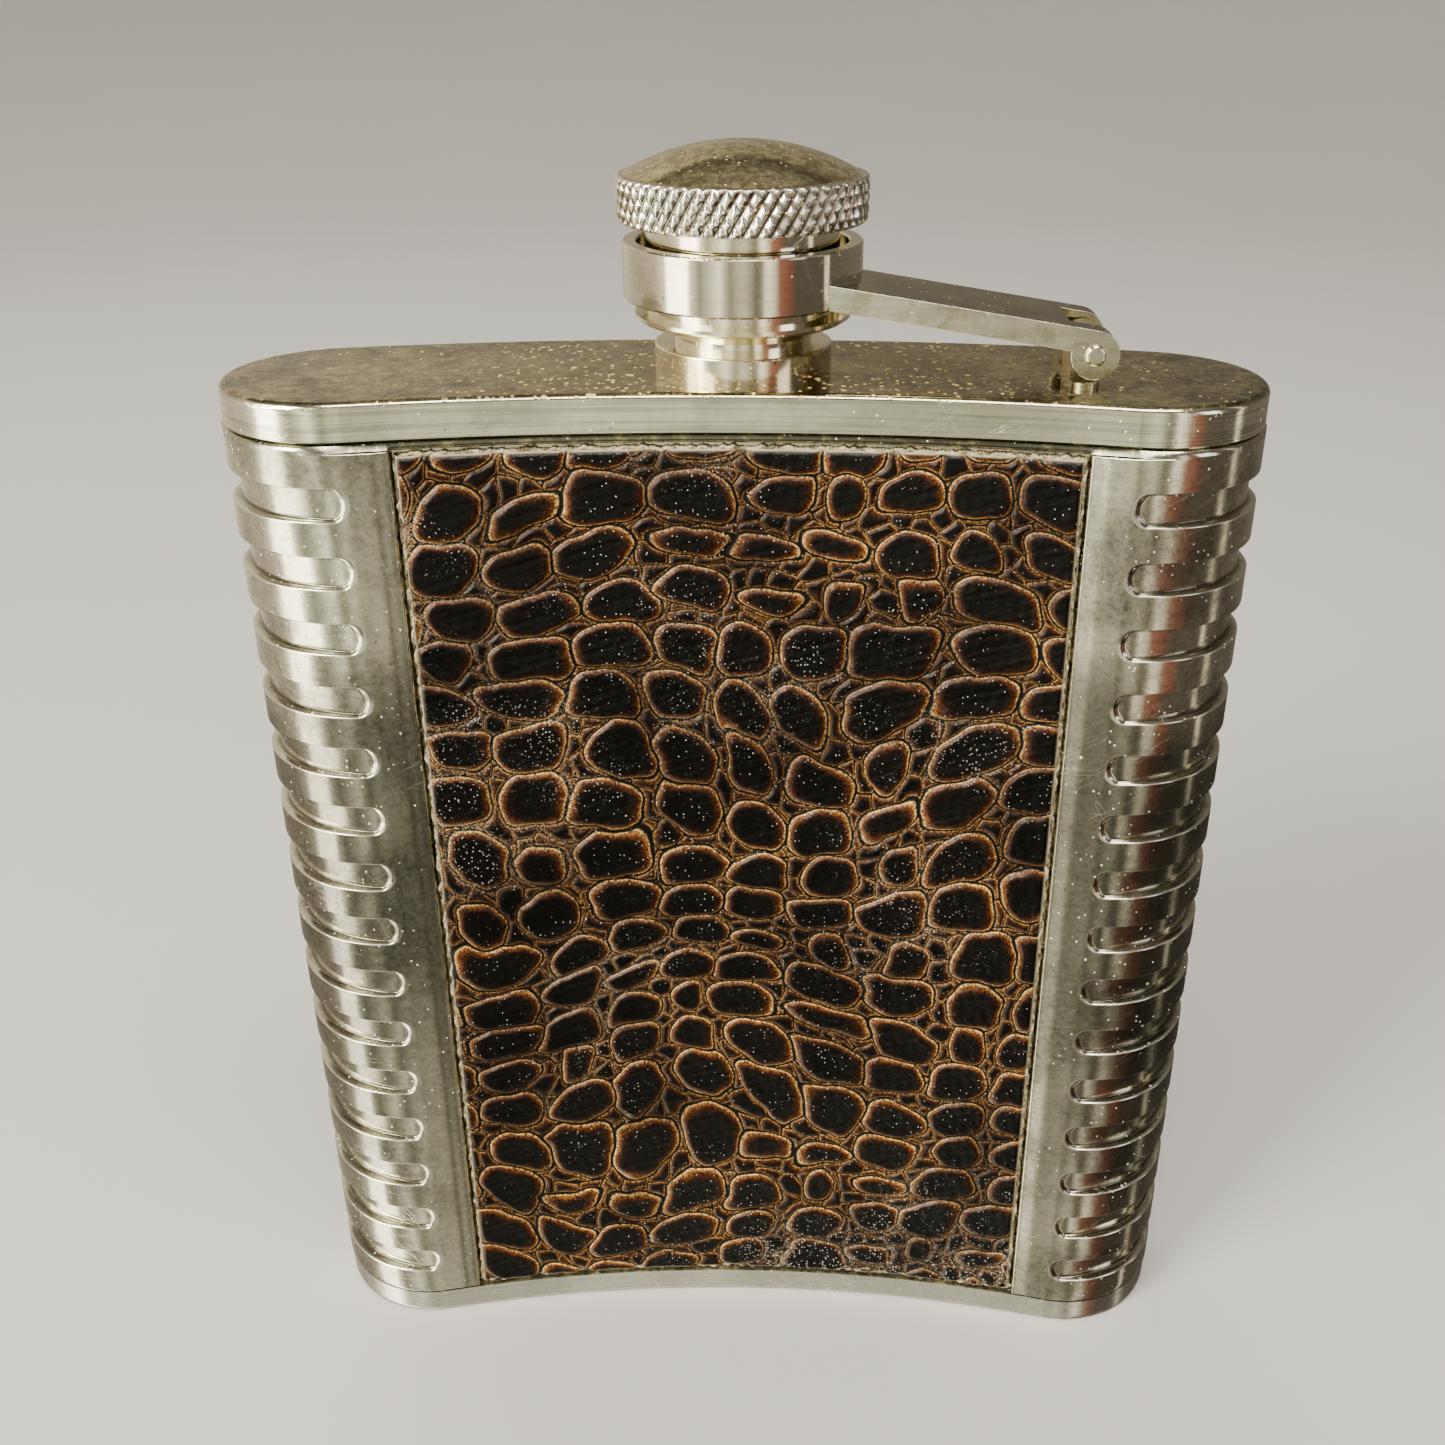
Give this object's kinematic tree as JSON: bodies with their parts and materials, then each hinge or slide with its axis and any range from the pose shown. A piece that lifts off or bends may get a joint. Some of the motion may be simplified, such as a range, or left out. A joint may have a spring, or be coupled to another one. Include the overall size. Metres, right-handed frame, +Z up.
{
  "type": "hip flask",
  "caption": "Curved pocket flask for drink, with ribbed steel ends, scale-patterned leather faces and a knurled screw cap held by a ring on a hinged arm.",
  "frame": {"origin": "on the resting plane, on the bent centre line of the body, midway between its ends, under the axis of the neck", "axes": "+Z up out of the neck, +X to the right of a person facing the hollow hip side, towards the arm's hinge, and -Y out of the hollow side"},
  "size_m": [0.095, 0.0264, 0.1257],
  "materials": {
    "body_steel": "polished with fine scratches",
    "lid_steel": "polished with fine scratches",
    "base_steel": "polished with fine scratches",
    "neck_steel": "polished with fine scratches",
    "arm_steel": "polished with fine scratches",
    "cap_steel": "polished with fine scratches",
    "pin_steel": "polished with fine scratches",
    "patterned_leather": "glossy scales, dark in the middle and tan at the rims",
    "backing_cloth": "matt",
    "gasket_rubber": "matt"
  },
  "bodies": {
    "flask": {"body_shell": "body_steel", "top_lid": "lid_steel", "base_pan": "base_steel", "hip_side_backing": "backing_cloth", "hip_side_leather": "patterned_leather", "outer_side_backing": "backing_cloth", "outer_side_leather": "patterned_leather", "neck_tube": "neck_steel", "neck_collar": "neck_steel", "hinge_bracket": "arm_steel"},
    "arm": {"arm_channel": "arm_steel", "captive_ring": "arm_steel", "hinge_pin": "pin_steel"},
    "seal": {"cap_gasket": "gasket_rubber"},
    "cap": {"cap_shell": "cap_steel", "cap_bush": "cap_steel", "retaining_flange": "cap_steel"}
  },
  "joints": [
    {"name": "arm_hinge", "type": "hinge", "parent": "flask", "child": "arm", "pos_m": [0.0311, -0.0022, 0.1087], "axis": [0, 1, 0], "range_deg": [0, 160]},
    {"name": "cap_lift", "type": "slide", "parent": "arm", "child": "seal", "axis": [0, 0, 1], "range_m": [0, 0.00126]},
    {"name": "cap_turn", "type": "hinge", "parent": "seal", "child": "cap", "pos_m": [0, 0, 0.116], "axis": [0, 0, 1], "range_deg": [0, 450]}
  ],
  "couplings": [
    {"joint": "cap_lift", "follows": "cap_turn", "m_per_rad": 0.00015915}
  ]
}
